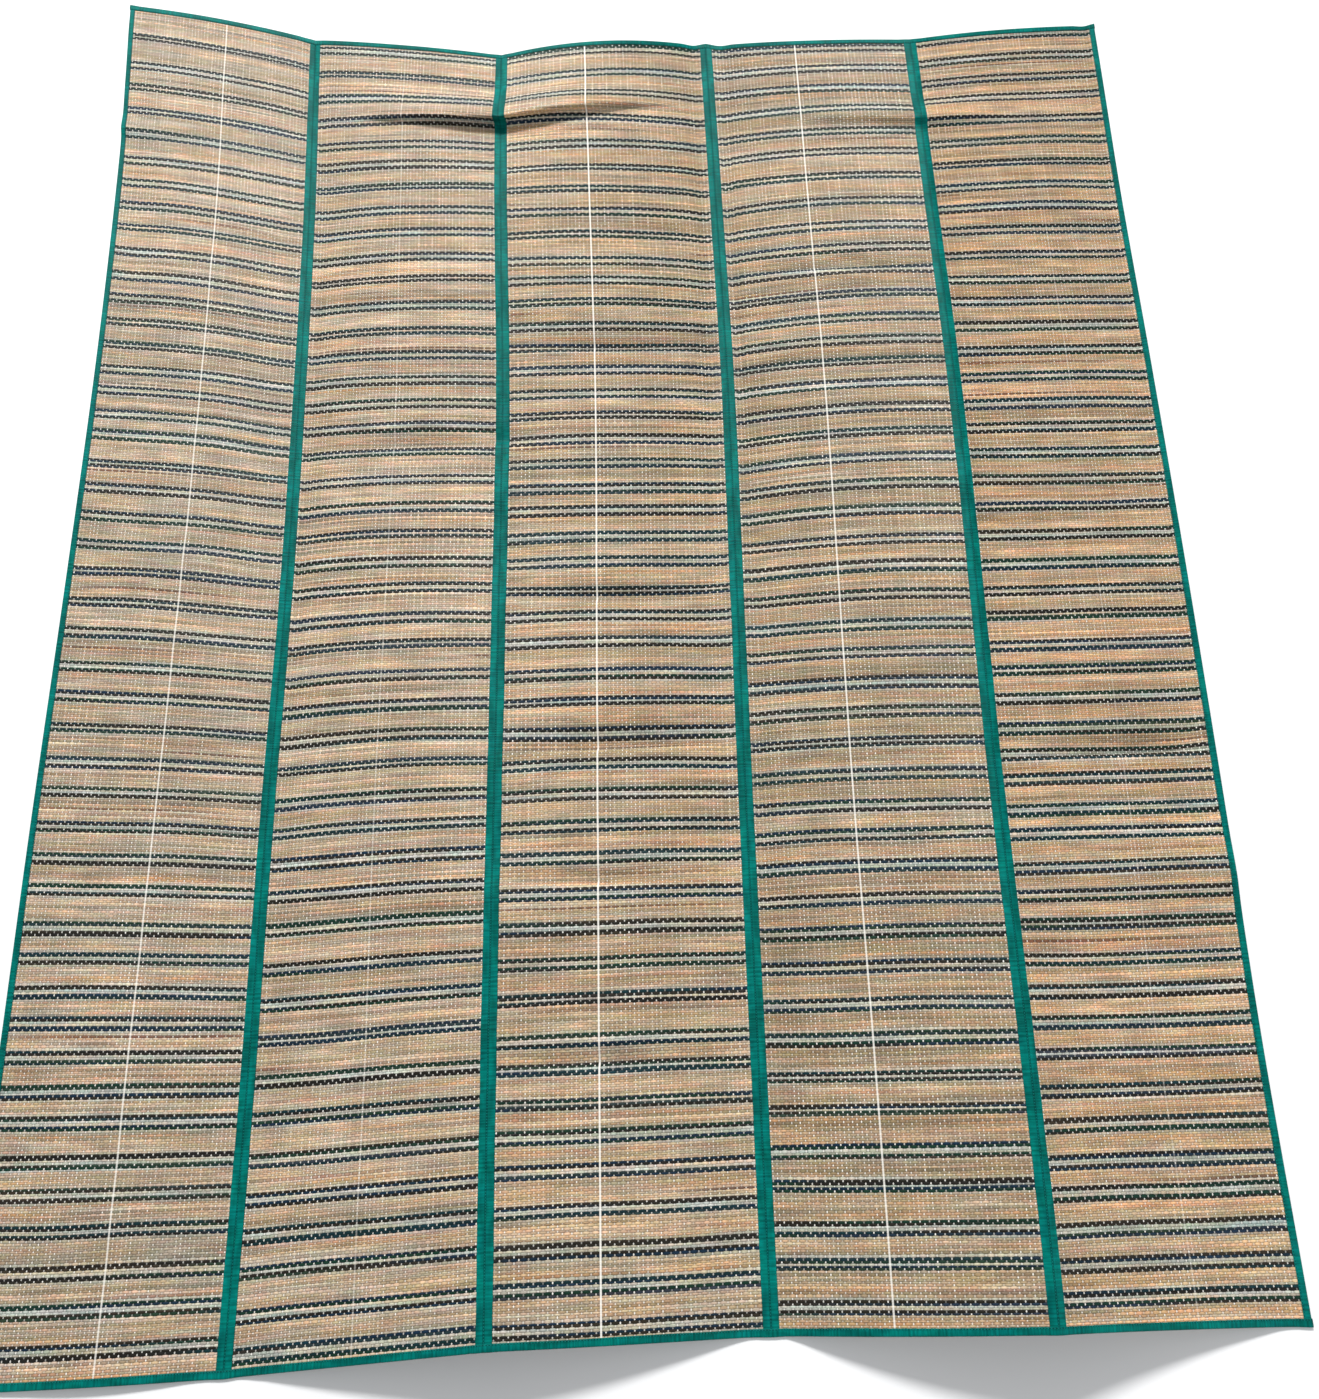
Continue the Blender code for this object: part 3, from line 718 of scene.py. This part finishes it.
def end_binding(name, node, at_head, material):
    """The tape over the ends of all the panels and of the lengthwise tapes, closed at both corners."""
    panel = np.append(np.repeat(np.arange(PANELS), FINE), PANELS - 1)
    steps = np.append(np.tile(np.arange(FINE), PANELS), FINE).astype(float)
    tips = np.array(CLOSED_MM) * MM / PITCH * FINE
    panel = np.concatenate([[0, 0], panel, [PANELS - 1, PANELS - 1]])
    steps = np.concatenate([-tips[::-1], steps, FINE + tips])
    places = (panel + steps / FINE) * PITCH
    inward, out = crinkled(FOLD_MM, 340 + 10 * at_head, places, 1)
    to_seam = np.abs(places / PITCH - np.round(places / PITCH))
    rise = np.clip(1.6 - to_seam / OVERLAP_REACH, 0, 1)[:, None] * OVERLAP_MM * MM
    out = np.where(out > 0, out + rise, out - np.minimum(rise, 0.1 * MM))
    inward = np.where(inward < 0.5 * MM, inward - rise * 0.6, inward)
    out[[0, -1]] *= 0.15
    along = LENGTH - inward if at_head else inward
    points, normals = surface.at(panel[:, None], along, steps[:, None])
    rings = points + normals * out[..., None]
    if at_head:
        return ribbon(name, node, rings, fold_across(), places, material, 7)
    return ribbon(name, node, rings[:, ::-1], fold_across()[::-1], places, material, 7)


surface = Surface()
joint_green = tape_material("joint_tape_green", 0.0, 1.3)
edge_green = tape_material("edge_tape_green", 6.4, 0.7)
for index, (guide, strength) in enumerate(GUIDES):
    woven_panel(index, reed_material(f"reed_{index + 1}", round(guide * WARPS), strength))
tapes = [joint_tape(joint, joint_green) for joint in range(1, PANELS)]
left = side_binding("edge_tape_left", "binding_left", 0, False, edge_green)
right = side_binding("edge_tape_right", "binding_right", PANELS - 1, True, edge_green)
foot = end_binding("edge_tape_foot", "binding_foot", False, edge_green)
head = end_binding("edge_tape_head", "binding_head", True, edge_green)

# The floor, light and camera

FLOOR_REACH = 9
FLOOR_DROP = 0.4 * MM  # keeps the mat's underside clear of the floor
floor_mesh = bpy.data.meshes.new("floor")
corners = [(x * FLOOR_REACH, y * FLOOR_REACH, 0) for x, y in ((-1, -1), (1, -1), (1, 1), (-1, 1))]
floor_mesh.from_pydata(corners, [], [(0, 1, 2, 3)])
floor = bpy.data.objects.new("floor", floor_mesh)
floor.location.z = -FLOOR_DROP
bpy.context.scene.collection.objects.link(floor)
pale = bpy.data.materials.new("floor_pale")
pale.use_nodes = True
pale.node_tree.nodes["Principled BSDF"].inputs["Base Color"].default_value = (0.90, 0.90, 0.90, 1)
pale.node_tree.nodes["Principled BSDF"].inputs["Roughness"].default_value = 0.9
floor_mesh.materials.append(pale)

world = bpy.data.worlds.new("studio")
world.use_nodes = True
world.node_tree.nodes["Background"].inputs[0].default_value = (0.95, 0.97, 1.0, 1)
world.node_tree.nodes["Background"].inputs[1].default_value = 0.46
bpy.context.scene.world = world


def area_light(name, place, target, size, power):
    light = bpy.data.lights.new(name, "AREA")
    light.shape = "DISK"
    light.size = size
    light.energy = power
    lamp = bpy.data.objects.new(name, light)
    bpy.context.scene.collection.objects.link(lamp)
    lamp.location = place
    lamp.rotation_mode = "QUATERNION"
    lamp.rotation_quaternion = (Vector(target) - Vector(place)).to_track_quat("-Z", "Y")


area_light("key", (-1.4, 11.5, 11.6), (0, 0, 0), 2.8, 2700)
area_light("glare", (-1.9, 2.7, 2.0), (-0.35, 0.6, 0), 0.6, 40)
area_light("fill", (3.2, -1.9, 3.0), (0.5, -0.5, 0), 2.0, 26)
bpy.context.scene.view_settings.view_transform = "Standard"

PHOTO_WIDE, PHOTO_HIGH = 1319, 1399
FOCAL_PIXELS, CENTRE_X, CENTRE_Y = 1318.1, 689.4, 704.3
YAW, PITCH_DOWN, ROLL = (math.radians(angle) for angle in (5.44, 70.788, -6.613))
EYE = (0.1400 - PLAN_MIDDLE[0], -0.7170 - PLAN_MIDDLE[1], 1.5852 + REST_HEIGHT)
level = np.array((math.cos(YAW), math.sin(YAW), 0))
forward = np.array((-math.sin(YAW), math.cos(YAW), 0))
ahead = forward * math.cos(PITCH_DOWN) - np.array((0, 0, math.sin(PITCH_DOWN)))
above = np.cross(level, ahead)
sideways = math.cos(ROLL) * level + math.sin(ROLL) * above
upright = -math.sin(ROLL) * level + math.cos(ROLL) * above
camera_data = bpy.data.cameras.new("camera")
camera = bpy.data.objects.new("camera", camera_data)
bpy.context.scene.collection.objects.link(camera)
bpy.context.scene.camera = camera
turned = Matrix([row.tolist() for row in (sideways, upright, -ahead)]).transposed()
camera.matrix_world = Matrix.Translation(EYE) @ turned.to_4x4()
camera_data.sensor_width = 36
camera_data.sensor_fit = "AUTO"
camera_data.lens = FOCAL_PIXELS / PHOTO_HIGH * 36
camera_data.shift_x = (PHOTO_WIDE / 2 - CENTRE_X) / PHOTO_HIGH
camera_data.shift_y = (CENTRE_Y - PHOTO_HIGH / 2) / PHOTO_HIGH
